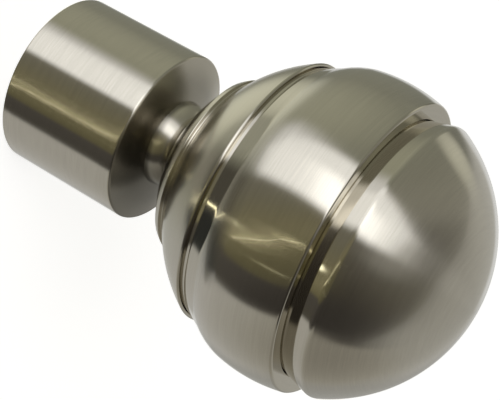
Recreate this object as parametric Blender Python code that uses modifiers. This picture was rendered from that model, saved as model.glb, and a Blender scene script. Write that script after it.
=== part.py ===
"""Curtain pole finial: a grooved ball on a bossed neck and a socket that slips over a round pole.

Metres, +Z up. The origin is the centre of the socket's mouth, and +Z runs along the axis to the
tip of the ball. The finial stands on its socket's rim. The grub screw faces +Y.
"""

import math

import bmesh
import bpy
from mathutils import Matrix, Vector

# Driving dimensions, in metres
POLE_DIAMETER = 0.0280
POLE_CLEARANCE = 0.00025
SOCKET_WALL = 0.00175
SOCKET_LENGTH = 0.0245
BORE_DEPTH = 0.0200
BORE_CHAMFER = 0.0004
RIM_ROUND = 0.0004
SOCKET_END_ROUND = 0.00055
SOCKET_END_RISE = 0.0014

# Neck: its length, boss and cone are measured from the rim of the socket's end face
NECK_LENGTH = 0.01015
NECK_RADIUS = 0.0060
BOSS_AT = 0.00195
BOSS_RADIUS = 0.0081
BOSS_TAPER = 0.0022
BOSS_FRONT_RADIUS = 0.0074
BOSS_CROWN = 0.0002
BOSS_DROP = 0.0011
BOSS_STEPS = 4
FLARE_RIM = 0.0006
FLARE_LENGTH = 0.0042
FLARE_BULGE = 0.0010
FLARE_STEPS = 6

COLLAR_BACK_RADIUS = 0.0161
COLLAR_FLARE = 0.00085
COLLAR_WIDTH = 0.00130
COLLAR_GROOVE = 0.00035
COLLAR_ROUND = 0.00025

BALL_RADIUS = 0.0282
BALL_BACK_RADIUS = 0.01635

# Grooves: places measured along the axis from the ball's centre, foot radii from the axis
REAR_WALL_AT = -0.0129
REAR_FOOT_RADIUS = 0.0243
REAR_BREAK_AT = -0.0109
REAR_BREAK_RADIUS = 0.02465
BAND_REAR_AT = -0.00705
BAND_FRONT_AT = 0.00745
FRONT_FOOT_RADIUS = 0.0244
DOME_EDGE_AT = 0.0120
SLIT = 0.00035
LIP_ROUND = 0.0006
RIM_OF_BAND_ROUND = 0.00055
BREAK_ROUND = 0.0012
BAND_SHOULDER_ROUND = 0.0150
DOME_SHOULDER_ROUND = 0.0035
SHOULDER_RUN = 0.0023

SCREW_DIAMETER = 0.0040
SCREW_LENGTH = 0.0030
SCREW_AT = 0.0100
SCREW_GAP = 0.0003
SCREW_KEY_WIDTH = 0.0020
SCREW_KEY_DEPTH = 0.0016
SCREW_CHAMFER = 0.0004
SCREW_TIP_SET_BACK = 0.0002

# Finish of the model
TURN_STEPS = 60
SCREW_STEPS = 24
ARC_STEP = math.radians(7.5)
FILLET_STEP = math.radians(28)
SHARP_ANGLE = math.radians(32)
MERGE = 0.00002
NICKEL = (0.56, 0.55, 0.50)
STEEL = (0.42, 0.42, 0.43)

# Sizes that follow from the ones above
BORE_RADIUS = POLE_DIAMETER / 2 + POLE_CLEARANCE
SOCKET_RADIUS = BORE_RADIUS + SOCKET_WALL
COLLAR_BACK = SOCKET_LENGTH + NECK_LENGTH
COLLAR_FRONT = COLLAR_BACK + COLLAR_WIDTH
BALL_BACK = COLLAR_FRONT + COLLAR_GROOVE
BALL_CENTRE = BALL_BACK + math.sqrt(BALL_RADIUS ** 2 - BALL_BACK_RADIUS ** 2)


def clear_scene():
    """Remove every object that the file opened with."""
    for thing in list(bpy.data.objects):
        bpy.data.objects.remove(thing, do_unlink=True)


def collection(name):
    """Make a collection under the scene's own."""
    group = bpy.data.collections.new(name)
    bpy.context.scene.collection.children.link(group)
    return group


def metal(name, colour, roughness):
    """Principled metal of one colour."""
    material = bpy.data.materials.new(name)
    material.use_nodes = True
    shader = material.node_tree.nodes["Principled BSDF"]
    shader.inputs["Base Color"].default_value = (*colour, 1)
    shader.inputs["Metallic"].default_value = 1
    shader.inputs["Roughness"].default_value = roughness
    return material


def on_ball(along):
    """Radius of the ball at a distance along the axis from its centre."""
    return math.sqrt(max(BALL_RADIUS ** 2 - along ** 2, 0))


def ball_arc(start, end):
    """Corners on the ball from one distance along the axis to another, both included."""
    first = math.asin(start / BALL_RADIUS)
    last = math.asin(end / BALL_RADIUS)
    count = max(2, math.ceil(abs(last - first) / ARC_STEP))
    angles = [first + (last - first) * i / count for i in range(count + 1)]
    return [(BALL_RADIUS * math.cos(a), BALL_CENTRE + BALL_RADIUS * math.sin(a), 0) for a in angles]


def rounded(corners):
    """Turn (radius, height, fillet) corners into points, each fillet an arc that meets both sides."""
    points = [corners[0][:2]]
    for before, corner, after in zip(corners, corners[1:], corners[2:]):
        place = Vector(corner[:2])
        back = Vector(before[:2]) - place
        on = Vector(after[:2]) - place
        turn = math.pi - back.angle(on)
        if corner[2] == 0 or turn < 0.01:
            points.append(tuple(place))
            continue
        room_back = back.length * (0.5 if before[2] else 0.98)
        room_on = on.length * (0.5 if after[2] else 0.98)
        tangent = min(corner[2] * math.tan(turn / 2), room_back, room_on)
        radius = tangent / math.tan(turn / 2)
        middle = (back.normalized() + on.normalized()).normalized()
        centre = place + middle * (radius / math.cos(turn / 2))
        first = place + back.normalized() * tangent - centre
        side = 1 if back.cross(on) < 0 else -1
        count = max(2, math.ceil(turn / FILLET_STEP))
        for i in range(count + 1):
            arm = Matrix.Rotation(side * turn * i / count, 2) @ first
            points.append(tuple(centre + arm))
    points.append(corners[-1][:2])
    return points


def dome_corners():
    """The front of the ball up to its shoulder, from which the groove's floor slopes down."""
    dome = ball_arc(BALL_RADIUS, DOME_EDGE_AT)
    return dome[:-1] + [(*dome[-1][:2], DOME_SHOULDER_ROUND)]


def slit_corners(foot_radius, wall):
    """A fine slot in the floor at the foot of a groove's wall."""
    return [
        (foot_radius, wall + SLIT, 0),
        (foot_radius - SLIT, wall + SLIT, 0),
        (foot_radius - SLIT, wall, 0),
    ]


def band_corners():
    """The brushed band: its front wall and rim, its crown, and its shoulder and floor behind."""
    rim = (on_ball(BAND_FRONT_AT), BALL_CENTRE + BAND_FRONT_AT, RIM_OF_BAND_ROUND)
    crown = ball_arc(BAND_FRONT_AT, BAND_REAR_AT + SHOULDER_RUN)
    shoulder = (on_ball(BAND_REAR_AT), BALL_CENTRE + BAND_REAR_AT, BAND_SHOULDER_ROUND)
    floor = (REAR_BREAK_RADIUS, BALL_CENTRE + REAR_BREAK_AT, BREAK_ROUND)
    return [rim] + crown[1:] + [shoulder, floor]


def back_corners():
    """The polished back of the ball, from the lip of the rear groove to the groove at the collar."""
    land = ball_arc(REAR_WALL_AT, BALL_BACK - BALL_CENTRE)
    lip = (*land[0][:2], LIP_ROUND)
    end = (*land[-1][:2], COLLAR_ROUND)
    return [lip] + land[1:-1] + [end]


def collar_corners():
    """The narrow flared collar behind the ball, with the shallow groove in front of it."""
    return [
        (BALL_BACK_RADIUS, COLLAR_FRONT, 0),
        (COLLAR_BACK_RADIUS + COLLAR_FLARE, COLLAR_FRONT, COLLAR_ROUND),
        (COLLAR_BACK_RADIUS, COLLAR_BACK, COLLAR_ROUND),
    ]


def bowed(start, end, bow, count):
    """Corners on a shallow parabola between two places, its middle out of the metal by the bow."""
    first = Vector(start)
    along = Vector(end) - first
    outward = Vector((-along.y, along.x)).normalized()
    corners = []
    for i in range(count + 1):
        share = i / count
        place = first + share * along + 4 * bow * share * (1 - share) * outward
        corners.append((*place, 0))
    return corners


def neck_corners():
    """The flare behind the collar, the neck, the boss with its crowned taper, and its root."""
    rim = (COLLAR_BACK_RADIUS - FLARE_RIM, COLLAR_BACK)
    flare = bowed(rim, (NECK_RADIUS, COLLAR_BACK - FLARE_LENGTH), FLARE_BULGE, FLARE_STEPS)
    wide = SOCKET_LENGTH + BOSS_AT
    narrow = wide + BOSS_TAPER
    foot = (NECK_RADIUS, narrow + BOSS_DROP, 0)
    taper = bowed((BOSS_FRONT_RADIUS, narrow), (BOSS_RADIUS, wide), BOSS_CROWN, BOSS_STEPS)
    root = (BOSS_RADIUS, SOCKET_LENGTH + SOCKET_END_RISE, 0)
    return flare + [foot] + taper + [root]


def socket_corners():
    """The socket: its flat-coned end face, outer wall, rim, chamfered mouth and blind bore."""
    return [
        (SOCKET_RADIUS, SOCKET_LENGTH, SOCKET_END_ROUND),
        (SOCKET_RADIUS, 0, RIM_ROUND),
        (BORE_RADIUS + BORE_CHAMFER, 0, 0),
        (BORE_RADIUS, BORE_CHAMFER, 0),
        (BORE_RADIUS, BORE_DEPTH, 0),
        (0, BORE_DEPTH, 0),
    ]


def body_profile():
    """The finial's half section, from the tip down its outside and up the bore to the axis."""
    corners = dome_corners()
    corners += slit_corners(FRONT_FOOT_RADIUS, BALL_CENTRE + BAND_FRONT_AT)
    corners += band_corners()
    corners += slit_corners(REAR_FOOT_RADIUS, BALL_CENTRE + REAR_WALL_AT)
    corners += back_corners()
    corners += collar_corners()
    corners += neck_corners()
    corners += socket_corners()
    return rounded(corners)


def turned(name, profile, steps, group):
    """Turn a profile of (radius, height) points about Z with a Screw modifier."""
    mesh = bpy.data.meshes.new(name)
    edges = [(i, i + 1) for i in range(len(profile) - 1)]
    mesh.from_pydata([(r, 0, z) for r, z in profile], edges, [])
    part = bpy.data.objects.new(name, mesh)
    group.objects.link(part)
    screw = part.modifiers.new("Turn", "SCREW")
    screw.axis = "Z"
    screw.steps = steps
    screw.render_steps = steps
    screw.use_merge_vertices = True
    screw.merge_threshold = MERGE
    screw.use_smooth_shade = True
    return part


def applied(part):
    """Put a part's evaluated mesh in place of its modifiers, shaded smooth with crisp edges."""
    depsgraph = bpy.context.evaluated_depsgraph_get()
    mesh = bpy.data.meshes.new_from_object(part.evaluated_get(depsgraph))
    part.modifiers.clear()
    part.data = mesh
    mesh.shade_smooth()
    mesh.set_sharp_from_angle(angle=SHARP_ANGLE)
    return part


def cut(part, cutter):
    """Subtract a cutter, which stays in the file as a wire guide."""
    boolean = part.modifiers.new("Cut " + cutter.name, "BOOLEAN")
    boolean.operation = "DIFFERENCE"
    boolean.solver = "EXACT"
    boolean.object = cutter
    cutter.hide_render = True
    cutter.display_type = "WIRE"


def rod_along_y(name, radius, start, end, sides, group):
    """A cylinder, or a prism of few sides, between two places on Y at the screw's height."""
    mesh = bpy.data.meshes.new(name)
    shape = bmesh.new()
    bmesh.ops.create_cone(
        shape, cap_ends=True, segments=sides, radius1=radius, radius2=radius, depth=end - start
    )
    bmesh.ops.rotate(shape, verts=shape.verts, matrix=Matrix.Rotation(math.radians(-90), 3, "X"))
    shape.to_mesh(mesh)
    shape.free()
    rod = bpy.data.objects.new(name, mesh)
    rod.location = (0, (start + end) / 2, SCREW_AT)
    group.objects.link(rod)
    return rod


def make_body(parts, guides):
    """The finial's one-piece body, with the hole for its grub screw."""
    body = turned("finial_body", body_profile(), TURN_STEPS, parts)
    hole_radius = SCREW_DIAMETER / 2 + SCREW_GAP
    middle_of_bore = BORE_RADIUS / 2
    hole = rod_along_y(
        "screw_hole", hole_radius, middle_of_bore, SOCKET_RADIUS * 1.2, SCREW_STEPS, guides
    )
    cut(body, hole)
    applied(body)
    body.data.materials.clear()
    body.data.materials.append(metal("satin_nickel", NICKEL, 0.3))
    return body


def make_screw(parts, guides):
    """The grub screw, backed out so that its tip clears the bore, with its hexagon recess outward."""
    tip = BORE_RADIUS + SCREW_TIP_SET_BACK
    head = tip + SCREW_LENGTH
    screw = rod_along_y("grub_screw", SCREW_DIAMETER / 2, tip, head, SCREW_STEPS, parts)
    key_radius = SCREW_KEY_WIDTH / 2 / math.cos(math.pi / 6)
    key = rod_along_y("screw_key", key_radius, head - SCREW_KEY_DEPTH, head + SCREW_KEY_DEPTH, 6, guides)
    bevel = screw.modifiers.new("Chamfer", "BEVEL")
    bevel.width = SCREW_CHAMFER
    bevel.segments = 1
    bevel.limit_method = "ANGLE"
    bevel.angle_limit = math.radians(60)
    cut(screw, key)
    screw.data.shade_smooth()
    screw.data.set_sharp_from_angle(angle=SHARP_ANGLE)
    screw.data.materials.append(metal("steel", STEEL, 0.35))
    return screw


def main():
    """Build the finial in an empty scene."""
    clear_scene()
    parts = collection("curtain_pole_finial")
    guides = collection("cutters")
    make_body(parts, guides)
    make_screw(parts, guides)


main()
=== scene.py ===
"""Looks of a curtain pole finial in satin nickel: turned body, grub screw, studio and camera.

Everything is in metres in the frame's own axes: the origin is the centre of the socket's mouth and
+Z runs along the axis to the tip of the ball.
"""

import math

import bpy
import numpy as np
from bpy.props import FloatProperty, FloatVectorProperty, PointerProperty
from mathutils import Matrix, Vector


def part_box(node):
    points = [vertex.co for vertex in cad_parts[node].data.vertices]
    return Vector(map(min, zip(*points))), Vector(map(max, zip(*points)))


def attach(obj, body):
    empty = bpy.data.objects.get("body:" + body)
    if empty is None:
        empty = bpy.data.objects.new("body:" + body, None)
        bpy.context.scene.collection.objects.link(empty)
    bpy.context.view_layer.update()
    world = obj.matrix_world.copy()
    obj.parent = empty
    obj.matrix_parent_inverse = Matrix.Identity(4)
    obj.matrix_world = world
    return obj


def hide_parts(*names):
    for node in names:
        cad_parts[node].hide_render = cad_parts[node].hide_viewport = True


bl_info = {
    "name": "Curtain Pole Finial",
    "version": (1, 0, 0),
    "blender": (4, 5, 0),
    "location": "View3D > Sidebar > Finial",
    "description": "Turns a grooved ball finial with its socket and grub screw, and lights it",
    "category": "Add Mesh",
}

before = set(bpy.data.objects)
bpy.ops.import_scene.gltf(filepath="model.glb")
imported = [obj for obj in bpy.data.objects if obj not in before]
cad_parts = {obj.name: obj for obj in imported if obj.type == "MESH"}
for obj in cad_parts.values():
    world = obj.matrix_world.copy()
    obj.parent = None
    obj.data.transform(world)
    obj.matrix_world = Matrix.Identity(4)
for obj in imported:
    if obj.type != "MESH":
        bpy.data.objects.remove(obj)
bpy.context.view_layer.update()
BODY_LOW, BODY_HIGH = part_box("finial_body")
SCREW_LOW, SCREW_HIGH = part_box("grub_screw")

PHOTO_WIDTH = 500
SENSOR_WIDTH = 36.0

# Small sizes of the profile, in metres. Places in the ball are measured from its centre.
BORE_CHAMFER = 0.0004
RIM_ROUND = 0.0004
SOCKET_END_ROUND = 0.00055
END_RISE = 0.0014
BEAD_AT = 0.0008
BEAD_LENGTH = 0.0044
FLARE_RIM = 0.0006
FLARE_LENGTH = 0.0042
FLARE_BULGE = 0.0010
COLLAR_FLARE = 0.00085
COLLAR_WIDTH = 0.00130
COLLAR_ROUND = 0.0004
COLLAR_GROOVE = 0.00035
BALL_BACK_RADIUS = 0.0165
REAR_FOOT_RADIUS = 0.0243
REAR_EDGE_AT = -0.0091
REAR_EDGE_RADIUS = 0.02588
REAR_BREAK_AT = -0.0120
REAR_BREAK_RADIUS = 0.02442
FRONT_FOOT_RADIUS = 0.0244
LIP_ROUND = 0.0006
RIM_OF_BAND_ROUND = 0.00055
BREAK_ROUND = 0.0004
BAND_SHOULDER_ROUND = 0.0150
DOME_SHOULDER_ROUND = 0.0035
SHOULDER_RUN = 0.0023

# Where the brushed finish ends
BRUSHED_DOME_FROM = 0.01165
BRUSHED_BAND_FROM = -0.0090
BRUSHED_BAND_TO = 0.00700
BRUSHED_SOCKET_SHORT = 0.0002

# The screw and its hole
SCREW_AT = 0.0100
HOLE_RADIUS = 0.0023
HOLE_SINK = 0.0004
HOLE_STOP = 0.00012
THREAD_PITCH = 0.0007
THREAD_DEPTH = 0.0004
SCREW_CHAMFER = 0.0004
CUP_CENTRE = 0.0004
KEY_WIDTH = 0.0020
KEY_BOTTOM = 0.0018

# The screw's point, as shares of its radius across and from the tip, where its chamfer starts, and
# its recess, as a share of the key's radius and a depth below the head
POINT_RINGS = [(0.30, 0.35), (0.62, 0), (0.70, 0)]
POINT_CHAMFER = 0.72
POINT_STEP = 0.00002
KEY_RINGS = [(1.07, 0), (1, 0.00008), (1, 0.0008), (1, 0.00155), (0.96, 0.0016), (0.5, 0.0017)]

# Painted shade on the satin finish: where the shade at the root of the neck gives way, from the axis
# and from the mouth; where the shade towards +X starts and is full, by how far a place faces +X; and
# the colour's strength at those two places, a slight painted lift and then the painted shade
SATIN_SHADE_RADII = (0.0105, 0.0158)
SATIN_SHADE_HEIGHTS = (0.0261, 0.0272)
SATIN_SHADE_FACING = (0.35, 0.95)
SATIN_SHADE_STRENGTH = (1.08, 0.47)

# Tool marks in the bore and the grain of the screw
BORE_MARK_WIDTH = 0.00012
BORE_MARK_DEPTH = 0.000008
SCREW_GRAIN_DEPTH = 0.000004

# Fineness of the meshes
FILLET_STEP = math.radians(9)
BALL_STEP = math.radians(1.25)
BEAD_STEPS = 24
FLARE_STEPS = 24
SIDES = 240
WALL_STEPS = 6
WINDOW_STEPS = 16
BORE_FLOOR_STEPS = 12
WINDOW_REACH = 0.0032
WINDOW_RINGS = 4
HOLE_RINGS = 24
SCREW_SIDES = 96
SCREW_RINGS = 60
FLOOR_SIDES = 96

# The studio's room. Directions are degrees to the right of the camera and above it, as seen from the
# finial, and colours are linear. The stops of a ramp lie at the sine of the height, and those of
# FAR_LEFT at the share towards the camera.
WALLS = [
    (-1.0, (0.27, 0.255, 0.22)),
    (-0.85, (0.36, 0.345, 0.30)),
    (-0.70, (0.43, 0.42, 0.38)),
    (-0.50, (0.49, 0.48, 0.45)),
    (-0.25, (0.51, 0.50, 0.475)),
    (-0.05, (0.50, 0.50, 0.47)),
    (0.15, (0.40, 0.40, 0.345)),
    (0.35, (0.215, 0.215, 0.175)),
    (0.50, (0.235, 0.235, 0.19)),
    (0.80, (0.27, 0.27, 0.215)),
    (1.0, (0.40, 0.40, 0.31)),
]
RIGHT_LIT = [
    (-1.0, (0.40, 0.393, 0.36)),
    (-0.40, (0.44, 0.432, 0.395)),
    (0.27, (0.48, 0.472, 0.43)),
    (0.36, (0.19, 0.188, 0.155)),
    (0.60, (0.22, 0.22, 0.18)),
]
DARK_LOW = [
    (-1.0, (0.040, 0.036, 0.032)),
    (-0.80, (0.044, 0.040, 0.035)),
    (-0.60, (0.054, 0.049, 0.043)),
    (-0.40, (0.080, 0.073, 0.064)),
    (0.0, (0.10, 0.093, 0.080)),
]
DARK_LEFT = [
    (-0.60, (0.10, 0.092, 0.055)),
    (-0.42, (0.13, 0.118, 0.066)),
    (-0.25, (0.145, 0.132, 0.072)),
    (-0.14, (0.185, 0.168, 0.095)),
    (-0.05, (0.25, 0.228, 0.138)),
    (0.12, (0.21, 0.19, 0.115)),
    (0.30, (0.19, 0.178, 0.125)),
    (0.45, (0.19, 0.18, 0.14)),
]
FAR_LEFT = [
    (-0.60, (0.31, 0.30, 0.25)),
    (-0.30, (0.29, 0.28, 0.235)),
    (-0.21, (0.085, 0.08, 0.065)),
    (0.12, (0.09, 0.083, 0.067)),
]
DARK_RIGHT = [
    (-1.0, (0.050, 0.045, 0.040)),
    (-0.87, (0.060, 0.055, 0.047)),
    (-0.72, (0.095, 0.087, 0.070)),
    (-0.56, (0.13, 0.122, 0.098)),
    (-0.42, (0.155, 0.147, 0.125)),
    (-0.08, (0.150, 0.142, 0.122)),
    (0.02, (0.17, 0.163, 0.14)),
    (0.13, (0.29, 0.28, 0.24)),
    (0.30, (0.29, 0.283, 0.235)),
    (0.50, (0.26, 0.255, 0.21)),
]

# Edges of the lit parts of the right wall and the back, as normals to the right of the camera, above
# it and behind it, and the corners of the khaki patch to the left
RIGHT_EDGES = [(-0.107, -0.444, -0.599), (0.063, -0.143, -0.988)]
LIT_EDGES = [(0.31, -0.606, -1.0), (-0.667, -0.243, -1.0)]
KHAKI_PATCH = [(-92, 4), (-84, -6), (-43, -33), (-5, -36), (10, 40), (-92, 40)]

# Where one part of the room turns into the next, as shares towards the camera, right and up
LEFT_TURN = (-0.02, 0.12)
RIGHT_TURN = (0.1, 0.6)
WALL_TURN = (0.50, 0.62)
BACK_TURN = (0.25, 0.6)
PATCH_SOFTNESS = 0.03
EDGE_SOFTNESS = 0.04
SEAM_SOFTNESS = 0.0025

# Round glows (place, size in degrees, colour), panels (colour, softness, corners), of which the
# second is the pale backdrop, parts of the softbox (level, softness, corners) and thin lines of
# light at the seams (corners)
GLOWS = [
    ((-146, 41), 26, (0.80, 0.80, 0.66)),
    ((118, 27), 15, (0.62, 0.61, 0.50)),
    ((-72, 6), 2.6, (3.0, 2.9, 2.1)),
]
PANELS = [
    ((0.36, 0.355, 0.33), 0.12, [(158, -12), (-160, -12), (-160, -52), (158, -52)]),
    ((0.68, 0.68, 0.66), 0.07, [(148, 18), (-162, 18), (-162, -13), (148, -13)]),
    ((0.33, 0.32, 0.29), 0.12, [(20, -12), (60, -4), (56, -24), (30, -26)]),
    ((0.033, 0.035, 0.032), 0.03, [(-98, 11), (-116, 9), (-116, -17), (-98, -15)]),
    ((0.40, 0.40, 0.33), 0.03, [(-101, 37), (-122, 37), (-128, 58), (-105, 62)]),
]
SOFTBOX = [
    (0.44, 0.14, [(-74, 37), (-25, 31), (10, 42), (-90, 70), (-99, 59)]),
    (0.60, 0.07, [(-73, 36), (36, -14), (54, -4), (-87, 51)]),
    (1.00, 0.08, [(-15, 21), (25, -9), (31, 7), (-10, 45)]),
]
SEAMS = [
    [(-71, -3.4), (-56, -4.4), (-56, -3.8), (-71, -2.8)],
    [(-56, -4.4), (-43, -5.4), (-43, -4.8), (-56, -3.8)],
    [(-43, -5.4), (-35, -4.3), (-35, -3.7), (-43, -4.8)],
    [(-35, -4.3), (-20, -7.2), (-20, -6.6), (-35, -3.7)],
    [(-51, -18.6), (-47, -21.9), (-47, -21.7), (-51, -18.4)],
    [(-46, -22.0), (-43, -24.2), (-43, -24.0), (-46, -21.8)],
    [(-40, -25.2), (-36, -27.5), (-36, -27.3), (-40, -25.0)],
    [(-113, 11.2), (-98, 13.3), (-98, 13.9), (-113, 11.8)],
]
SEAM_LIGHT = (4.5, 4.185, 2.79)
FLOOR_GLOW = 0.76

# Numbers of the body's finishes
BRUSHED, POLISHED, MACHINED, SATIN, BUFFED = range(5)


class FinialSizes(bpy.types.PropertyGroup):
    """Main sizes of the turned body. Places in the ball are measured along the axis from its centre."""

    tip: FloatProperty(
        name="Tip", description="Height of the ball's tip above the mouth",
        default=BODY_HIGH.z, unit="LENGTH", precision=5)
    ball_radius: FloatProperty(
        name="Ball radius", description="Radius of the ball over the band and the dome",
        default=BODY_HIGH.x, unit="LENGTH", precision=5)
    socket_radius: FloatProperty(
        name="Socket radius", description="Outer radius of the socket",
        default=0.0160, unit="LENGTH", precision=5)
    socket_length: FloatProperty(
        name="Socket length", description="From the mouth to the end face behind the neck",
        default=0.0245, unit="LENGTH", precision=5)
    bore_radius: FloatProperty(
        name="Bore radius", description="Radius of the blind bore for the pole",
        default=0.01425, unit="LENGTH", precision=5)
    bore_depth: FloatProperty(
        name="Bore depth", description="Depth of the blind bore",
        default=0.0200, unit="LENGTH", precision=5)
    neck_radius: FloatProperty(
        name="Neck radius", description="Radius of the plain neck",
        default=0.0060, unit="LENGTH", precision=5)
    bead_radius: FloatProperty(
        name="Bead radius", description="Radius of the bead at the root of the neck",
        default=0.0081, unit="LENGTH", precision=5)
    collar_radius: FloatProperty(
        name="Collar radius", description="Radius of the collar at its back edge",
        default=0.0161, unit="LENGTH", precision=5)
    collar_back: FloatProperty(
        name="Collar back", description="Height of the collar's back face above the mouth",
        default=0.03465, unit="LENGTH", precision=5)
    slit: FloatProperty(
        name="Slit", description="Width and depth of the fine slots in the two grooves",
        default=0.00035, unit="LENGTH", precision=5)
    rear_wall: FloatProperty(
        name="Rear groove wall", description="Place of the rear groove's wall",
        default=-0.0129, unit="LENGTH", precision=5)
    band_rear: FloatProperty(
        name="Band rear", description="Place of the band's rear shoulder",
        default=-0.00705, unit="LENGTH", precision=5)
    band_front: FloatProperty(
        name="Band front", description="Place of the band's front wall",
        default=0.00745, unit="LENGTH", precision=5)
    dome_edge: FloatProperty(
        name="Dome edge", description="Place of the dome's shoulder",
        default=0.0120, unit="LENGTH", precision=5)


class FinialFinish(bpy.types.PropertyGroup):
    """Colours and textures of the metal."""

    nickel: FloatVectorProperty(
        name="Nickel", description="Colour of the plated nickel",
        default=(0.60, 0.57, 0.50), subtype="COLOR", size=3, min=0, max=1)
    steel: FloatVectorProperty(
        name="Steel", description="Colour of the grub screw",
        default=(0.42, 0.42, 0.43), subtype="COLOR", size=3, min=0, max=1)
    brushed_roughness: FloatProperty(
        name="Brushed roughness", description="Roughness of the brushed zones",
        default=0.18, min=0, max=1)
    brushed_spread: FloatProperty(
        name="Brushed spread", description="How far the brushing draws highlights along the axis",
        default=1.0, min=0, max=1)
    stroke_width: FloatProperty(
        name="Stroke width", description="Width of one brush stroke",
        default=0.00016, unit="LENGTH", precision=6)
    stroke_depth: FloatProperty(
        name="Stroke depth", description="Depth of the brush strokes",
        default=0.0000012, unit="LENGTH", precision=7)
    ripple_size: FloatProperty(
        name="Ripple size", description="Width of one soft ripple in the polish",
        default=0.0028, unit="LENGTH", precision=5)
    ripple_depth: FloatProperty(
        name="Ripple depth", description="Depth of the ripples in the polish",
        default=0.000006, unit="LENGTH", precision=7)


class FinialStudio(bpy.types.PropertyGroup):
    """Camera and light."""

    focal_pixels: FloatProperty(
        name="Focal length", description="Focal length in widths of a photo pixel",
        default=1420.8)
    camera_right: FloatProperty(
        name="Camera right", description="Place of the camera along X",
        default=0.0021, unit="LENGTH", precision=5)
    camera_back: FloatProperty(
        name="Camera back", description="Place of the camera along Y",
        default=-0.22813, unit="LENGTH", precision=5)
    camera_height: FloatProperty(
        name="Camera height", description="Place of the camera along Z",
        default=0.13379, unit="LENGTH", precision=5)
    look_down: FloatProperty(
        name="Look down", description="How far the camera looks below the horizon",
        default=math.radians(21.461), subtype="ANGLE")
    roll: FloatProperty(
        name="Roll", description="Turn of the camera about its line of sight",
        default=math.radians(119.694), subtype="ANGLE")
    softbox: FloatProperty(
        name="Softbox", description="Brightness of the long softbox", default=2.0)
    floor_radius: FloatProperty(
        name="Floor radius", description="Radius of the pale floor", default=6.0, unit="LENGTH")


def ball_arc(sizes, centre, start, end):
    """Corners on the ball between two places along its axis: the radius is the ball's radius times
    the cosine of the latitude, and the height is the centre plus the radius times the sine."""
    first = math.asin(start / sizes.ball_radius)
    last = math.asin(end / sizes.ball_radius)
    angle = np.linspace(first, last, max(2, math.ceil(abs(last - first) / BALL_STEP)) + 1)
    radius = sizes.ball_radius * np.cos(angle)
    height = centre + sizes.ball_radius * np.sin(angle)
    return np.c_[radius, height, 0 * angle]


def straight(start, end, pieces):
    """Corners inside a straight stretch: shares of its two ends, evenly spaced."""
    share = np.linspace(0, 1, pieces + 1)[1:-1, None]
    points = (1 - share) * np.array(start[:2]) + share * np.array(end[:2])
    return np.c_[points, np.zeros(len(points))]


def fillet(before, corner, after):
    """Points of the arc that rounds a (radius, height, fillet) corner: its centre lies on the line
    that halves the corner's angle, and the arc touches both sides."""
    back = before[:2] - corner[:2]
    on = after[:2] - corner[:2]
    back_length = np.linalg.norm(back)
    on_length = np.linalg.norm(on)
    back = back / back_length
    on = on / on_length
    turn = math.pi - math.acos(np.clip(back @ on, -1, 1))
    if corner[2] == 0 or turn < 0.01:
        return corner[None, :2]
    room_back = back_length * (0.5 if before[2] else 0.98)
    room_on = on_length * (0.5 if after[2] else 0.98)
    tangent = min(corner[2] * math.tan(turn / 2), room_back, room_on)
    radius = tangent / math.tan(turn / 2)
    middle = (back + on) / np.linalg.norm(back + on)
    centre = corner[:2] + middle * radius / math.cos(turn / 2)
    arm = corner[:2] + back * tangent - centre
    side = np.sign(back[1] * on[0] - back[0] * on[1])
    angle = side * np.linspace(0, turn, max(4, math.ceil(turn / FILLET_STEP)) + 1)
    x = arm[0] * np.cos(angle) - arm[1] * np.sin(angle)
    y = arm[0] * np.sin(angle) + arm[1] * np.cos(angle)
    return centre + np.c_[x, y]


def dome_corners(sizes, centre):
    """The dome up to its shoulder, from which the front groove's floor slopes down."""
    dome = ball_arc(sizes, centre, sizes.ball_radius, sizes.dome_edge)
    dome[-1, 2] = DOME_SHOULDER_ROUND
    return [dome]


def slit_corners(sizes, foot_radius, wall):
    """A fine slot in the floor at the foot of a groove's wall."""
    return [[
        (foot_radius, wall + sizes.slit, 0),
        (foot_radius - sizes.slit, wall + sizes.slit, 0),
        (foot_radius - sizes.slit, wall, 0),
    ]]


def band_corners(sizes, centre):
    """The brushed band: its front rim, its crown, its rear shoulder, and the even slope from the edge
    behind that down to the floor of the rear groove."""
    crown = ball_arc(sizes, centre, sizes.band_front, sizes.band_rear + SHOULDER_RUN)
    crown[0, 2] = RIM_OF_BAND_ROUND
    shoulder_radius = math.sqrt(sizes.ball_radius ** 2 - sizes.band_rear ** 2)
    shoulder = (shoulder_radius, centre + sizes.band_rear, BAND_SHOULDER_ROUND)
    edge = (REAR_EDGE_RADIUS, centre + REAR_EDGE_AT, 0)
    floor = (REAR_BREAK_RADIUS, centre + REAR_BREAK_AT, BREAK_ROUND)
    return [crown, [shoulder, edge], straight(edge, floor, WALL_STEPS), [floor]]


def back_corners(sizes, centre):
    """The polished back of the ball, from the lip of the rear groove to the groove at the collar."""
    ball_back = sizes.collar_back + COLLAR_WIDTH + COLLAR_GROOVE
    land = ball_arc(sizes, centre, sizes.rear_wall, ball_back - centre)
    land[0, 2] = LIP_ROUND
    land[-1, 2] = COLLAR_ROUND
    return [land]


def collar_corners(sizes):
    """The narrow flared collar behind the ball, and the shallow groove in front of it."""
    front = sizes.collar_back + COLLAR_WIDTH
    return [[
        (BALL_BACK_RADIUS, front, COLLAR_ROUND),
        (sizes.collar_radius + COLLAR_FLARE, front, COLLAR_ROUND),
        (sizes.collar_radius, sizes.collar_back, COLLAR_ROUND),
    ]]


def bowed(start, end, bow, pieces):
    """Corners along a shallow parabola from one place to another, both included. Its middle stands
    off the straight line by the bow, out of the metal where the bow is above zero."""
    share = np.linspace(0, 1, pieces + 1)[:, None]
    start = np.array(start)
    along = np.array(end) - start
    outward = np.array((-along[1], along[0])) / np.hypot(*along)
    points = start + share * along + 4 * bow * share * (1 - share) * outward
    return np.c_[points, np.zeros(pieces + 1)]


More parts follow.
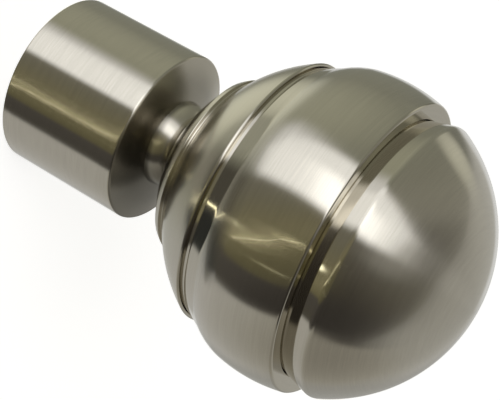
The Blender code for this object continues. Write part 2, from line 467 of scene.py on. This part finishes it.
def neck_corners(sizes):
    """The bulging flare behind the collar, the neck, and the bead at its root, whose radius rises
    from the neck's along an ellipse."""
    rim = (sizes.collar_radius - FLARE_RIM, sizes.collar_back)
    flare = bowed(rim, (sizes.neck_radius, sizes.collar_back - FLARE_LENGTH), FLARE_BULGE, FLARE_STEPS)
    root = math.acos((END_RISE - BEAD_AT) / BEAD_LENGTH)
    angle = np.linspace(0, root, BEAD_STEPS)
    rise = (sizes.bead_radius - sizes.neck_radius) / math.sin(root)
    radius = sizes.neck_radius + rise * np.sin(angle)
    height = sizes.socket_length + BEAD_AT + BEAD_LENGTH * np.cos(angle)
    return [flare, np.c_[radius, height, 0 * angle]]


def socket_corners(sizes):
    """The socket's end face, which rises in a shallow cone to the bead, and its outer wall, rim,
    chamfered mouth and blind bore. Both walls have rings where the window round the screw hole
    starts and ends."""
    low = SCREW_AT - WINDOW_REACH
    high = SCREW_AT + WINDOW_REACH
    end = (sizes.socket_radius, sizes.socket_length, SOCKET_END_ROUND)
    rim = (sizes.socket_radius, 0, RIM_ROUND)
    lip = (sizes.bore_radius + BORE_CHAMFER, 0, 0)
    throat = (sizes.bore_radius, BORE_CHAMFER, 0)
    floor = (sizes.bore_radius, sizes.bore_depth, 0)
    outer_high = (sizes.socket_radius, high, 0)
    outer_low = (sizes.socket_radius, low, 0)
    inner_low = (sizes.bore_radius, low, 0)
    inner_high = (sizes.bore_radius, high, 0)
    return [
        [end], straight(end, outer_high, WALL_STEPS)[1:], [outer_high],
        straight(outer_high, outer_low, WINDOW_STEPS), [outer_low],
        straight(outer_low, rim, WALL_STEPS)[:-1], [rim], [lip], [throat],
        straight(throat, inner_low, WALL_STEPS), [inner_low],
        straight(inner_low, inner_high, WINDOW_STEPS), [inner_high],
        straight(inner_high, floor, WALL_STEPS), [floor],
        straight(floor, (0, sizes.bore_depth), BORE_FLOOR_STEPS), [(0, sizes.bore_depth, 0)],
    ]


def body_profile(sizes):
    """Points (radius, height) of the half section, from the tip down its outside and up the bore."""
    centre = sizes.tip - sizes.ball_radius
    stretches = dome_corners(sizes, centre)
    stretches += slit_corners(sizes, FRONT_FOOT_RADIUS, centre + sizes.band_front)
    stretches += band_corners(sizes, centre)
    stretches += slit_corners(sizes, REAR_FOOT_RADIUS, centre + sizes.rear_wall)
    stretches += back_corners(sizes, centre)
    stretches += collar_corners(sizes)
    stretches += neck_corners(sizes)
    stretches += socket_corners(sizes)
    corners = np.concatenate([np.asarray(stretch, float) for stretch in stretches])
    inner = [fillet(*three) for three in zip(corners, corners[1:], corners[2:])]
    return np.concatenate([corners[:1, :2], *inner, corners[-1:, :2]])


def body_finish(sizes, profile):
    """Finish of each stretch between two profile points, by the place of its middle."""
    centre = sizes.tip - sizes.ball_radius
    middle = (profile[1:] + profile[:-1]) / 2
    height = middle[:, 1]
    place = height - centre
    finish = np.full(len(middle), POLISHED)
    finish[place < sizes.rear_wall - LIP_ROUND / 2] = BUFFED
    finish[height < sizes.collar_back] = SATIN
    finish[place > BRUSHED_DOME_FROM] = BRUSHED
    finish[(place > BRUSHED_BAND_FROM) & (place < BRUSHED_BAND_TO)] = BRUSHED
    mouth = np.argmin(profile[:, 1])
    before_mouth = np.arange(len(middle)) < mouth
    finish[before_mouth & (height < sizes.socket_length - BRUSHED_SOCKET_SHORT)] = BRUSHED
    finish[~before_mouth] = MACHINED
    return finish


def arc_length(profile):
    """Distance along the profile from its first point to each of its points."""
    steps = np.linalg.norm(np.diff(profile, axis=0), axis=1)
    return np.concatenate([[0], np.cumsum(steps)])


def turned_points(profile, sides):
    """Points of a turned surface, ring by ring: each profile point at angle a lies at radius times
    (cos a, sin a) and its own height. A profile that starts and ends on the axis has poles."""
    angle = np.arange(sides) * math.tau / sides
    radius = profile[1:-1, 0, None]
    x = radius * np.cos(angle)
    y = radius * np.sin(angle)
    z = np.broadcast_to(profile[1:-1, 1, None], x.shape)
    rings = np.stack([x, y, z], axis=-1).reshape(-1, 3)
    poles = np.array([[0, 0, profile[0, 1]], [0, 0, profile[-1, 1]]])
    return np.concatenate([rings, poles])


def strip_faces(rings):
    """Faces between neighbouring closed rings of point numbers: each takes a point and the next one
    round from both rings, in the order that turns a surface's outside to the left."""
    here = rings[:-1]
    below = rings[1:]
    return np.stack([here, below, np.roll(below, -1, 1), np.roll(here, -1, 1)], axis=-1)


def cap_faces(ring, pole, outward):
    """Triangles between a ring of point numbers and a pole."""
    centre = np.full(len(ring), pole)
    after = np.roll(ring, -1)
    order = [centre, ring, after] if outward else [ring, centre, after]
    return np.stack(order, axis=-1)


def window_border(rows, columns, row_of_height):
    """Grid places round the border of a window, from its lower right corner anticlockwise as seen
    from outside: up, leftwards, down and back."""
    low, high = rows
    first, last = columns
    up = [(row_of_height(step), first) for step in range(low, high)]
    left = [(row_of_height(high), column) for column in range(first, last)]
    down = [(row_of_height(step), last) for step in range(high, low, -1)]
    back = [(row_of_height(low), column) for column in range(last, first, -1)]
    return np.array(up + left + down + back)


def mesh_object(name, points, faces, finish, along, materials):
    """A piece from whole arrays: points, lists of equal-sided face arrays with a finish number for
    each face, and each point's distance along the profile, kept as the attribute along."""
    mesh = bpy.data.meshes.new(name)
    loops = np.concatenate([group.reshape(-1) for group in faces]).astype(np.int32)
    counts = np.concatenate([np.full(len(group), group.shape[1]) for group in faces]).astype(np.int32)
    starts = np.concatenate([[0], np.cumsum(counts)[:-1]]).astype(np.int32)
    mesh.vertices.add(len(points))
    mesh.vertices.foreach_set("co", points.astype(np.float32).ravel())
    mesh.loops.add(len(loops))
    mesh.loops.foreach_set("vertex_index", loops)
    mesh.polygons.add(len(counts))
    mesh.polygons.foreach_set("loop_start", starts)
    mesh.polygons.foreach_set("material_index", np.concatenate(finish).astype(np.int32))
    mesh.update(calc_edges=True)
    attribute = mesh.attributes.new("along", "FLOAT", "POINT")
    attribute.data.foreach_set("value", along.astype(np.float32))
    for material in materials:
        mesh.materials.append(material)
    mesh.shade_smooth()
    mesh.set_sharp_from_angle(angle=math.radians(32))
    if mesh.validate():
        raise RuntimeError(f"the mesh of {name} has faulty faces")
    piece = bpy.data.objects.new(name, mesh)
    bpy.context.scene.collection.objects.link(piece)
    return piece


def on_cylinder(radius, x, z):
    """Points on the +Y side of an upright cylinder with those x and z: y is the square root of the
    radius squared less x squared."""
    return np.stack([x, np.sqrt(radius ** 2 - x ** 2), z], axis=-1)


def screw_hole(sizes, outer_border, inner_border):
    """Rings of points from the outer wall's window through the threaded hole to the bore's window:
    shares between the border and the hole's circle, the sunk edge, the wall, whose radius is the
    hole's less the thread's depth times a wave of the depth and the angle, and shares again."""
    x = outer_border[:, 0]
    z = outer_border[:, 2]
    angle = np.arctan2(z - SCREW_AT, x)
    across = np.cos(angle)
    upward = np.sin(angle)
    edge = HOLE_RADIUS + HOLE_SINK
    share = np.linspace(0, 1, WINDOW_RINGS + 2)[1:, None]
    outside = on_cylinder(
        sizes.socket_radius,
        (1 - share) * x + share * edge * across,
        (1 - share) * z + share * (SCREW_AT + edge * upward))
    start = sizes.socket_radius - HOLE_SINK
    end = sizes.bore_radius + HOLE_STOP
    depth = np.linspace(start, end, HOLE_RINGS)[:, None]
    turn = (start - depth) / THREAD_PITCH - angle / math.tau
    wave = np.abs(2 * (turn % 1) - 1)
    fade = np.clip(np.minimum(start - depth, depth - end) / (THREAD_PITCH / 2), 0, 1)
    radius = HOLE_RADIUS - THREAD_DEPTH / 2 * wave * fade
    level = np.broadcast_to(depth, radius.shape)
    wall = np.stack([radius * across, level, SCREW_AT + radius * upward], axis=-1)
    share = np.linspace(0, 1, WINDOW_RINGS + 2)[:-1, None]
    inside = on_cylinder(
        sizes.bore_radius,
        (1 - share) * HOLE_RADIUS * across + share * inner_border[:, 0],
        (1 - share) * (SCREW_AT + HOLE_RADIUS * upward) + share * inner_border[:, 2])
    return outside, wall, inside


def nearest_ring(profile, radius, height):
    """Number of the profile point closest to a radius and a height."""
    return int(np.argmin(np.hypot(profile[:, 0] - radius, profile[:, 1] - height)))


class FINIAL_OT_turn_body(bpy.types.Operator):
    """Turn the body's profile, open the screw hole in its socket and give each zone its finish"""

    bl_idname = "finial.turn_body"
    bl_label = "Turn body"

    def execute(self, context):
        sizes = context.scene.finial_sizes
        finish_settings = context.scene.finial_finish
        profile = body_profile(sizes)
        finish = body_finish(sizes, profile)
        along = arc_length(profile)
        points = turned_points(profile, SIDES)
        ring_count = len(profile) - 2
        numbers = np.arange(ring_count * SIDES).reshape(ring_count, SIDES)

        # The window round the screw hole, cut out of both walls of the socket
        outer_low = nearest_ring(profile, sizes.socket_radius, SCREW_AT - WINDOW_REACH) - 1
        inner_low = nearest_ring(profile, sizes.bore_radius, SCREW_AT - WINDOW_REACH) - 1
        half = round(WINDOW_REACH / (math.tau * sizes.socket_radius / SIDES))
        middle = SIDES // 4
        columns = (middle - half, middle + half)
        outer_places = window_border((0, WINDOW_STEPS), columns, lambda step: outer_low - step)
        inner_places = window_border((0, WINDOW_STEPS), columns, lambda step: inner_low + step)
        outer_ring = numbers[outer_places[:, 0], outer_places[:, 1]]
        inner_ring = numbers[inner_places[:, 0], inner_places[:, 1]]

        faces = strip_faces(numbers)
        kept = np.ones(faces.shape[:2], bool)
        kept[outer_low - WINDOW_STEPS:outer_low, columns[0]:columns[1]] = False
        kept[inner_low:inner_low + WINDOW_STEPS, columns[0]:columns[1]] = False
        finish_of_face = np.broadcast_to(finish[1:-1, None], kept.shape)
        quads = faces[kept]
        quad_finish = finish_of_face[kept]

        # The hole that joins the two windows
        hole = np.concatenate(screw_hole(sizes, points[outer_ring], points[inner_ring]))
        outside_rings = WINDOW_RINGS + 1
        hole_numbers = len(points) + np.arange(hole.shape[0] * hole.shape[1]).reshape(hole.shape[:2])
        hole_rings = np.concatenate([outer_ring[None], hole_numbers, inner_ring[None]])
        hole_faces = strip_faces(hole_rings)
        hole_finish = np.full(hole_faces.shape[:2], MACHINED)
        hole_finish[:outside_rings] = BRUSHED
        wall_height = hole[..., 2].reshape(-1)

        pole = ring_count * SIDES
        caps = [
            cap_faces(numbers[0], pole, True),
            cap_faces(numbers[-1], pole + 1, False),
        ]
        cap_finish = [np.full(SIDES, finish[0]), np.full(SIDES, finish[-1])]
        outer_along = along[outer_low + 1] + (profile[outer_low + 1, 1] - wall_height)
        body = mesh_object(
            "turned_finial",
            np.concatenate([points, hole.reshape(-1, 3)]),
            [quads, hole_faces.reshape(-1, 4), *caps],
            [quad_finish, hole_finish.reshape(-1), *cap_finish],
            np.concatenate([np.repeat(along[1:-1], SIDES), along[[0, -1]], outer_along]),
            [maker(finish_settings) for maker in FINISH_MAKERS],
        )
        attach(body, "root")
        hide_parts("finial_body")
        return {"FINISHED"}


def hexagon(angle, width):
    """Radius of a hexagon of that width across its flats: half the width over the cosine of the
    angle from the nearest flat's middle."""
    return width / 2 / np.cos(angle % (math.pi / 3) - math.pi / 6)


def grub_screw_rings(tip, head, radius):
    """Rings (radius, place along Y) over the angle: the cup point, the thread, whose crest is a wave
    of the place and the angle inside the chamfered outline, the head's face and the key's recess."""
    angle = np.arange(SCREW_SIDES) * math.tau / SCREW_SIDES
    flat = np.ones_like(angle)
    rings = [(wide * radius * flat, (tip + deep * radius) * flat) for wide, deep in POINT_RINGS]
    place = np.linspace(tip + POINT_STEP, head, SCREW_RINGS)[:, None]
    outline = np.minimum(POINT_CHAMFER * radius + (place - tip), radius)
    outline = np.minimum(outline, radius - SCREW_CHAMFER * 0.9 + (head - place))
    wave = np.abs(2 * ((place / THREAD_PITCH - angle / math.tau) % 1) - 1)
    crest = radius - THREAD_DEPTH * np.clip(1.3 * wave - 0.15, 0, 1)
    rings += [(row, at * flat) for row, at in zip(np.minimum(outline, crest), place[:, 0])]
    key = hexagon(angle, KEY_WIDTH)
    rings.append((0.5 * (key + radius - SCREW_CHAMFER), head * flat))
    rings += [(wide * key, (head - deep) * flat) for wide, deep in KEY_RINGS]
    return angle, np.array([ring for ring, _ in rings]), np.array([at for _, at in rings])


class FINIAL_OT_grub_screw(bpy.types.Operator):
    """Make the threaded grub screw with its hexagon recess and cup point"""

    bl_idname = "finial.grub_screw"
    bl_label = "Grub screw"

    def execute(self, context):
        tip = SCREW_LOW.y
        head = SCREW_HIGH.y
        radius = (SCREW_HIGH.x - SCREW_LOW.x) / 2
        angle, reach, place = grub_screw_rings(tip, head, radius)
        x = reach * np.cos(angle)
        z = SCREW_AT + reach * np.sin(angle)
        points = np.stack([x, place, z], axis=-1).reshape(-1, 3)
        poles = np.array([[0, tip + CUP_CENTRE, SCREW_AT], [0, head - KEY_BOTTOM, SCREW_AT]])
        count = len(reach)
        numbers = np.arange(count * SCREW_SIDES).reshape(count, SCREW_SIDES)
        faces = strip_faces(numbers)
        pole = count * SCREW_SIDES
        caps = [cap_faces(numbers[0], pole, True), cap_faces(numbers[-1], pole + 1, False)]
        sections = np.c_[reach.mean(1), place.mean(1)]
        along = arc_length(sections)
        screw = mesh_object(
            "threaded_grub_screw",
            np.concatenate([points, poles]),
            [faces.reshape(-1, 4), *caps],
            [np.zeros(faces.shape[0] * faces.shape[1]), np.zeros(SCREW_SIDES), np.zeros(SCREW_SIDES)],
            np.concatenate([np.repeat(along, SCREW_SIDES), along[[0, -1]]]),
            [screw_steel(context.scene.finial_finish)],
        )
        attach(screw, "root")
        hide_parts("grub_screw")
        return {"FINISHED"}


def fill_inputs(tree, node, inputs):
    """Link each named input of a node to a socket, or set it to a value."""
    for name, value in inputs.items():
        if isinstance(value, bpy.types.NodeSocket):
            tree.links.new(value, node.inputs[name])
        else:
            node.inputs[name].default_value = value


def add_node(tree, kind, inputs=None, **settings):
    """A node with its settings and inputs."""
    node = tree.nodes.new(kind)
    for name, value in settings.items():
        setattr(node, name, value)
    fill_inputs(tree, node, inputs or {})
    return node


def calculate(tree, operation, *values):
    """Result of a math node."""
    return add_node(tree, "ShaderNodeMath", dict(enumerate(values)), operation=operation).outputs[0]


def vector_math(tree, operation, *values):
    """A vector math node. Its first output is a vector and its second a number."""
    return add_node(tree, "ShaderNodeVectorMath", dict(enumerate(values)), operation=operation)


def mixed(tree, first, share, second):
    """A share of one value and the rest of another."""
    return calculate(tree, "MULTIPLY_ADD", first, share, calculate(tree, "MULTIPLY", second, 1 - share))


def blended(tree, share, below, above):
    """One colour under another, by a share from 0 to 1."""
    node = tree.nodes.new("ShaderNodeMix")
    node.data_type = "RGBA"
    for socket, value in ((node.inputs[0], share), (node.inputs[6], below), (node.inputs[7], above)):
        if isinstance(value, bpy.types.NodeSocket):
            tree.links.new(value, socket)
        else:
            socket.default_value = value if isinstance(value, float) else (*value, 1)
    return node.outputs[2]


def smooth_step(tree, value, start, end, low=0.0, high=1.0):
    """A smooth rise of a value between two limits."""
    node = add_node(tree, "ShaderNodeMapRange", interpolation_type="SMOOTHSTEP")
    tree.links.new(value, node.inputs["Value"])
    for name, number in zip(("From Min", "From Max", "To Min", "To Max"), (start, end, low, high)):
        node.inputs[name].default_value = number
    return node.outputs[0]


def new_material(name, metallic=1):
    """A material with its node tree and its Principled shader."""
    material = bpy.data.materials.new(name)
    material.use_nodes = True
    shader = material.node_tree.nodes["Principled BSDF"]
    shader.inputs["Metallic"].default_value = metallic
    return material, material.node_tree, shader


def object_place(tree):
    """Object coordinates."""
    return tree.nodes.new("ShaderNodeTexCoord").outputs["Object"]


def off_axis(tree):
    """The part of the object coordinates that points away from the axis."""
    return vector_math(tree, "MULTIPLY", object_place(tree), (1, 1, 0)).outputs[0]


def stroke_space(tree, turns, width):
    """Coordinates that are long round the axis and one stroke wide along the profile."""
    spoke = vector_math(tree, "NORMALIZE", off_axis(tree)).outputs[0]
    spoke = vector_math(tree, "MULTIPLY", spoke, (turns,) * 3).outputs[0]
    along = add_node(tree, "ShaderNodeAttribute", attribute_name="along").outputs["Fac"]
    along = calculate(tree, "DIVIDE", along, width)
    lift = add_node(tree, "ShaderNodeCombineXYZ", {"Z": along}).outputs[0]
    return vector_math(tree, "ADD", spoke, lift).outputs[0]


def noise(tree, vector, scale=1.0, detail=2.0):
    """Value of a noise texture."""
    return add_node(
        tree, "ShaderNodeTexNoise", {"Vector": vector, "Scale": scale, "Detail": detail}).outputs[0]


def tint(tree, metal, share, low, high):
    """The metal's colour at a strength between two limits, by a share from 0 to 1."""
    metal = np.array(metal)
    return blended(tree, share, tuple(metal * low), tuple(metal * high))


def relief(tree, height, depth, under=None):
    """Normal of a surface with bumps of that depth, laid over another normal if there is one."""
    inputs = {"Strength": 1.0, "Distance": depth, "Height": height}
    if under is not None:
        inputs["Normal"] = under
    return add_node(tree, "ShaderNodeBump", inputs).outputs[0]


def brushed_nickel(settings):
    """Nickel brushed round the axis under clear lacquer: fine strokes in colour, gloss and relief."""
    material, tree, shader = new_material("brushed_nickel")
    fine = noise(tree, stroke_space(tree, 3.5, settings.stroke_width), detail=3.0)
    broad = noise(tree, stroke_space(tree, 2.2, settings.stroke_width * 5))
    cloud = noise(tree, object_place(tree), scale=160.0)
    ripple = noise(tree, object_place(tree), scale=1 / settings.ripple_size, detail=1.0)
    tone = mixed(tree, fine, 0.7, broad)
    gloss = calculate(tree, "MULTIPLY_ADD", cloud, 0.04, settings.brushed_roughness - 0.03)
    fill_inputs(tree, shader, {
        "Base Color": tint(tree, settings.nickel, smooth_step(tree, tone, 0.35, 0.65), 0.965, 1.035),
        "Roughness": calculate(tree, "MULTIPLY_ADD", fine, 0.03, gloss),
        "Anisotropic": settings.brushed_spread,
        "Anisotropic Rotation": 0.25,
        "Tangent": add_node(tree, "ShaderNodeTangent", direction_type="RADIAL", axis="Z").outputs[0],
        "Normal": relief(tree, tone, settings.stroke_depth),
        "Coat Weight": 0.9,
        "Coat Roughness": 0.025,
        "Coat IOR": 1.6,
        "Coat Normal": relief(tree, ripple, settings.ripple_depth),
    })
    return material


def smooth_nickel(name, settings, roughness):
    """Bright nickel: the soft ripples of a polished casting and faint marks round the axis."""
    material, tree, shader = new_material(name)
    ripple = noise(tree, object_place(tree), scale=1 / settings.ripple_size, detail=1.0)
    marks = noise(tree, stroke_space(tree, 2.5, settings.stroke_width * 2))
    scratches = relief(tree, marks, settings.stroke_depth * 0.15)
    fill_inputs(tree, shader, {
        "Base Color": tint(tree, settings.nickel, smooth_step(tree, marks, 0.3, 0.7), 0.98, 1.02),
        "Roughness": calculate(tree, "MULTIPLY_ADD", marks, 0.05, roughness - 0.02),
        "Normal": relief(tree, ripple, settings.ripple_depth, scratches),
    })
    return material


def polished_nickel(settings):
    """The mirror finish in the two grooves."""
    return smooth_nickel("polished_nickel", settings, 0.08)


def buffed_nickel(settings):
    """The softer shine on the back of the ball and the collar."""
    return smooth_nickel("buffed_nickel", settings, 0.20)


def satin_nickel(settings):
    """Satin nickel of the neck and the socket's end: fine turning marks and a dull gloss, with painted
    shade at the root of the neck and on the side towards +X, standing in for the darker reflections
    there."""
    material, tree, shader = new_material("satin_nickel")
    cloud = noise(tree, object_place(tree), scale=260.0, detail=3.0)
    marks = noise(tree, stroke_space(tree, 2.0, settings.stroke_width))
    radius = vector_math(tree, "LENGTH", off_axis(tree)).outputs["Value"]
    height = add_node(tree, "ShaderNodeSeparateXYZ", {0: object_place(tree)}).outputs["Z"]
    spoke = vector_math(tree, "NORMALIZE", off_axis(tree)).outputs[0]
    side = add_node(tree, "ShaderNodeSeparateXYZ", {0: spoke}).outputs["X"]
    # Painted shade: darker colour round the root of the neck and on the side towards +X, a little lifted
    # elsewhere
    rim = smooth_step(tree, radius, *SATIN_SHADE_RADII)
    neck = smooth_step(tree, height, *SATIN_SHADE_HEIGHTS)
    unshaded = mixed(tree, cloud, 0.2, calculate(tree, "MAXIMUM", rim, neck))
    colour = vector_math(tree, "SCALE", tint(tree, settings.nickel, unshaded, 0.56, 0.90))
    fill_inputs(tree, colour, {"Scale": smooth_step(tree, side, *SATIN_SHADE_FACING, *SATIN_SHADE_STRENGTH)})
    fill_inputs(tree, shader, {
        "Base Color": colour.outputs[0],
        "Roughness": calculate(tree, "MULTIPLY_ADD", cloud, 0.06, 0.20),
        "Normal": relief(tree, marks, settings.stroke_depth * 0.3),
    })
    return material


def machined_bore(settings):
    """Thinly plated, turned metal in the bore: even tool marks and a duller, darker tone."""
    material, tree, shader = new_material("machined_bore")
    marks = noise(tree, stroke_space(tree, 1.6, BORE_MARK_WIDTH))
    cloud = noise(tree, object_place(tree), scale=220.0, detail=4.0)
    tone = smooth_step(tree, mixed(tree, marks, 0.4, cloud), 0.3, 0.7)
    fill_inputs(tree, shader, {
        "Base Color": tint(tree, settings.nickel, tone, 0.62, 0.84),
        "Roughness": calculate(tree, "MULTIPLY_ADD", cloud, 0.2, 0.3),
        "Normal": relief(tree, marks, BORE_MARK_DEPTH),
    })
    return material


def screw_steel(settings):
    """Zinc-plated steel of the screw: a fine mottled grain and a dull gloss."""
    material, tree, shader = new_material("screw_steel")
    grain = noise(tree, object_place(tree), scale=2500.0, detail=3.0)
    cloud = noise(tree, object_place(tree), scale=500.0)
    fill_inputs(tree, shader, {
        "Base Color": tint(tree, settings.steel, smooth_step(tree, cloud, 0.35, 0.65), 0.85, 1.1),
        "Roughness": calculate(tree, "MULTIPLY_ADD", grain, 0.15, 0.28),
        "Normal": relief(tree, grain, SCREW_GRAIN_DEPTH),
    })
    return material


# Makers of the body's finishes, in the order of their numbers
FINISH_MAKERS = (brushed_nickel, polished_nickel, machined_bore, satin_nickel, buffed_nickel)


def camera_axes(studio):
    """Right, up and back of the camera in the frame's axes: the level camera leans down by the look
    angle and is then turned about its line of sight."""
    lean = Matrix.Rotation(math.pi / 2 - studio.look_down, 3, "X")
    return lean @ Matrix.Rotation(studio.roll, 3, "Z")


def seen_at(axes, right, up):
    """Direction from the finial that lies so many degrees to the right of the camera and above it."""
    right = math.radians(right)
    up = math.radians(up)
    return axes @ Vector((math.cos(up) * math.sin(right), math.sin(up), math.cos(up) * math.cos(right)))


def height_along(tree, ray, direction):
    """How far a ray points along a direction, from -1 to 1."""
    return vector_math(tree, "DOT_PRODUCT", ray, tuple(direction)).outputs["Value"]


def beyond_planes(tree, ray, normals, softness):
    """1 where a ray lies on the normal's side of every plane through the finial, 0 where it lies on
    the other side of one: the product of smooth steps over the planes."""
    share = None
    for normal in normals:
        step = smooth_step(tree, height_along(tree, ray, normal), -softness, softness)
        share = step if share is None else calculate(tree, "MULTIPLY", share, step)
    return share


def inside_panel(tree, ray, axes, corners, softness):
    """1 where a ray meets a flat panel with those corners, 0 past its edges. Each edge and the finial
    span a plane."""
    corners = [seen_at(axes, *corner) for corner in corners]
    middle = sum(corners, Vector())
    normals = []
    for corner, following in zip(corners, corners[1:] + corners[:1]):
        normal = corner.cross(following).normalized()
        normals.append(-normal if normal.dot(middle) < 0 else normal)
    return beyond_planes(tree, ray, normals, softness)


def beyond_edges(tree, ray, axes, edges):
    """1 where a ray lies beyond every edge of a part of the room."""
    normals = [axes @ Vector(edge).normalized() for edge in edges]
    return beyond_planes(tree, ray, normals, EDGE_SOFTNESS)


def ramp(tree, value, stops):
    """Colours along a value, as (place, colour) stops in rising order."""
    start = stops[0][0]
    end = stops[-1][0]
    place = add_node(tree, "ShaderNodeMapRange")
    tree.links.new(value, place.inputs["Value"])
    place.inputs["From Min"].default_value = start
    place.inputs["From Max"].default_value = end
    node = tree.nodes.new("ShaderNodeValToRGB")
    tree.links.new(place.outputs[0], node.inputs[0])
    elements = node.color_ramp.elements
    while len(elements) < len(stops):
        elements.new(0.5)
    for element, (at, colour) in zip(elements, stops):
        element.position = (at - start) / (end - start)
        element.color = (*colour, 1)
    return node.outputs[0]


def studio_room(tree, ray, axes, studio):
    """What the metal mirrors, in layers: the dark side that the camera looks from, with a khaki patch
    and a paler far left, the right wall, the walls above and behind, small glows, panels of which one
    is the pale backdrop, the long softbox and thin lines of light at the seams."""
    up = height_along(tree, ray, seen_at(axes, 0, 90))
    side = height_along(tree, ray, seen_at(axes, 90, 0))
    front = height_along(tree, ray, seen_at(axes, 0, 0))
    walls = ramp(tree, up, WALLS)
    lit_right = ramp(tree, up, RIGHT_LIT)
    patch = inside_panel(tree, ray, axes, KHAKI_PATCH, PATCH_SOFTNESS)
    left = blended(tree, patch, ramp(tree, up, DARK_LOW), ramp(tree, up, DARK_LEFT))
    left = blended(tree, smooth_step(tree, front, *LEFT_TURN), ramp(tree, front, FAR_LEFT), left)
    lit = beyond_edges(tree, ray, axes, RIGHT_EDGES)
    right = blended(tree, lit, ramp(tree, up, DARK_RIGHT), lit_right)
    room = blended(tree, smooth_step(tree, side, *RIGHT_TURN), left, right)
    room = blended(tree, smooth_step(tree, up, *WALL_TURN), room, walls)
    back = blended(tree, smooth_step(tree, side, *BACK_TURN), walls, lit_right)
    room = blended(tree, beyond_edges(tree, ray, axes, LIT_EDGES), room, back)
    for place, size, light in GLOWS:
        near = height_along(tree, ray, seen_at(axes, *place))
        share = smooth_step(tree, near, math.cos(math.radians(size)), 1.0)
        room = blended(tree, share, room, light)
    softbox = [((level * studio.softbox,) * 3, softness, corners) for level, softness, corners in SOFTBOX]
    seams = [(SEAM_LIGHT, SEAM_SOFTNESS, corners) for corners in SEAMS]
    for light, softness, corners in PANELS + softbox + seams:
        room = blended(tree, inside_panel(tree, ray, axes, corners, softness), room, light)
    return room


def add_light_room(axes, studio):
    """World: pure white for the camera, and the studio's room for what the metal mirrors."""
    world = bpy.data.worlds.new("studio_room")
    bpy.context.scene.world = world
    world.use_nodes = True
    tree = world.node_tree
    tree.nodes.clear()
    ray = tree.nodes.new("ShaderNodeTexCoord").outputs["Generated"]
    room = studio_room(tree, ray, axes, studio)
    camera_ray = tree.nodes.new("ShaderNodeLightPath").outputs["Is Camera Ray"]
    colour = blended(tree, camera_ray, room, (1.0, 1.0, 1.0))
    background = add_node(tree, "ShaderNodeBackground", {"Color": colour, "Strength": 1.0})
    output = tree.nodes.new("ShaderNodeOutputWorld")
    tree.links.new(background.outputs[0], output.inputs[0])


def add_floor(studio):
    """Round pale floor under the mouth. Only the camera sees it, and only from above, with the
    finial's soft shadow."""
    angle = np.arange(FLOOR_SIDES) * math.tau / FLOOR_SIDES
    rim = np.c_[studio.floor_radius * np.cos(angle), studio.floor_radius * np.sin(angle), 0 * angle]
    mesh = bpy.data.meshes.new("floor")
    mesh.from_pydata(rim, [], [range(FLOOR_SIDES)])
    floor = bpy.data.objects.new("floor", mesh)
    bpy.context.scene.collection.objects.link(floor)
    material, tree, shader = new_material("floor_white", metallic=0)
    fill_inputs(tree, shader, {
        "Base Color": (0.8, 0.8, 0.8, 1),
        "Roughness": 0.9,
        "Specular IOR Level": 0,
        "Emission Color": (1, 1, 1, 1),
        "Emission Strength": FLOOR_GLOW,
    })
    under = tree.nodes.new("ShaderNodeNewGeometry").outputs["Backfacing"]
    clear = tree.nodes.new("ShaderNodeBsdfTransparent").outputs[0]
    surface = add_node(tree, "ShaderNodeMixShader", {0: under, 1: shader.outputs[0], 2: clear}).outputs[0]
    tree.links.new(surface, tree.nodes["Material Output"].inputs["Surface"])
    mesh.materials.append(material)
    floor.visible_glossy = False
    floor.visible_diffuse = False
    floor.visible_shadow = False
    floor.visible_transmission = False


def add_camera(axes, studio):
    """The photo's camera."""
    data = bpy.data.cameras.new("photo_camera")
    data.sensor_width = SENSOR_WIDTH
    data.lens = studio.focal_pixels * SENSOR_WIDTH / PHOTO_WIDTH
    data.clip_start = 0.01
    data.clip_end = 100
    camera = bpy.data.objects.new("photo_camera", data)
    place = Vector((studio.camera_right, studio.camera_back, studio.camera_height))
    camera.matrix_world = Matrix.Translation(place) @ axes.to_4x4()
    bpy.context.scene.collection.objects.link(camera)
    bpy.context.scene.camera = camera


class FINIAL_OT_stage(bpy.types.Operator):
    """Set the camera, the pale floor and the studio's light"""

    bl_idname = "finial.stage"
    bl_label = "Stage"

    def execute(self, context):
        studio = context.scene.finial_studio
        axes = camera_axes(studio)
        add_camera(axes, studio)
        add_light_room(axes, studio)
        add_floor(studio)
        context.scene.view_settings.view_transform = "Standard"
        return {"FINISHED"}


class FINIAL_PT_sidebar(bpy.types.Panel):
    """The finial's pieces and stage"""

    bl_idname = "FINIAL_PT_sidebar"
    bl_label = "Finial"
    bl_space_type = "VIEW_3D"
    bl_region_type = "UI"
    bl_category = "Finial"

    def draw(self, context):
        layout = self.layout
        for operator in OPERATORS:
            layout.operator(operator.bl_idname)
        scene = context.scene
        for settings in (scene.finial_sizes, scene.finial_finish, scene.finial_studio):
            box = layout.box()
            for name in settings.bl_rna.properties.keys():
                if name not in ("rna_type", "name"):
                    box.prop(settings, name)


OPERATORS = (FINIAL_OT_turn_body, FINIAL_OT_grub_screw, FINIAL_OT_stage)
CLASSES = (FinialSizes, FinialFinish, FinialStudio, *OPERATORS, FINIAL_PT_sidebar)


def register():
    """Register the classes and hang their settings on the scene."""
    for kind in CLASSES:
        bpy.utils.register_class(kind)
    bpy.types.Scene.finial_sizes = PointerProperty(type=FinialSizes)
    bpy.types.Scene.finial_finish = PointerProperty(type=FinialFinish)
    bpy.types.Scene.finial_studio = PointerProperty(type=FinialStudio)


def unregister():
    """Take the settings and the classes away again."""
    del bpy.types.Scene.finial_studio
    del bpy.types.Scene.finial_finish
    del bpy.types.Scene.finial_sizes
    for kind in reversed(CLASSES):
        bpy.utils.unregister_class(kind)


def main():
    """Make every piece and the stage."""
    register()
    bpy.ops.finial.turn_body()
    bpy.ops.finial.grub_screw()
    bpy.ops.finial.stage()


if __name__ == "__main__":
    main()
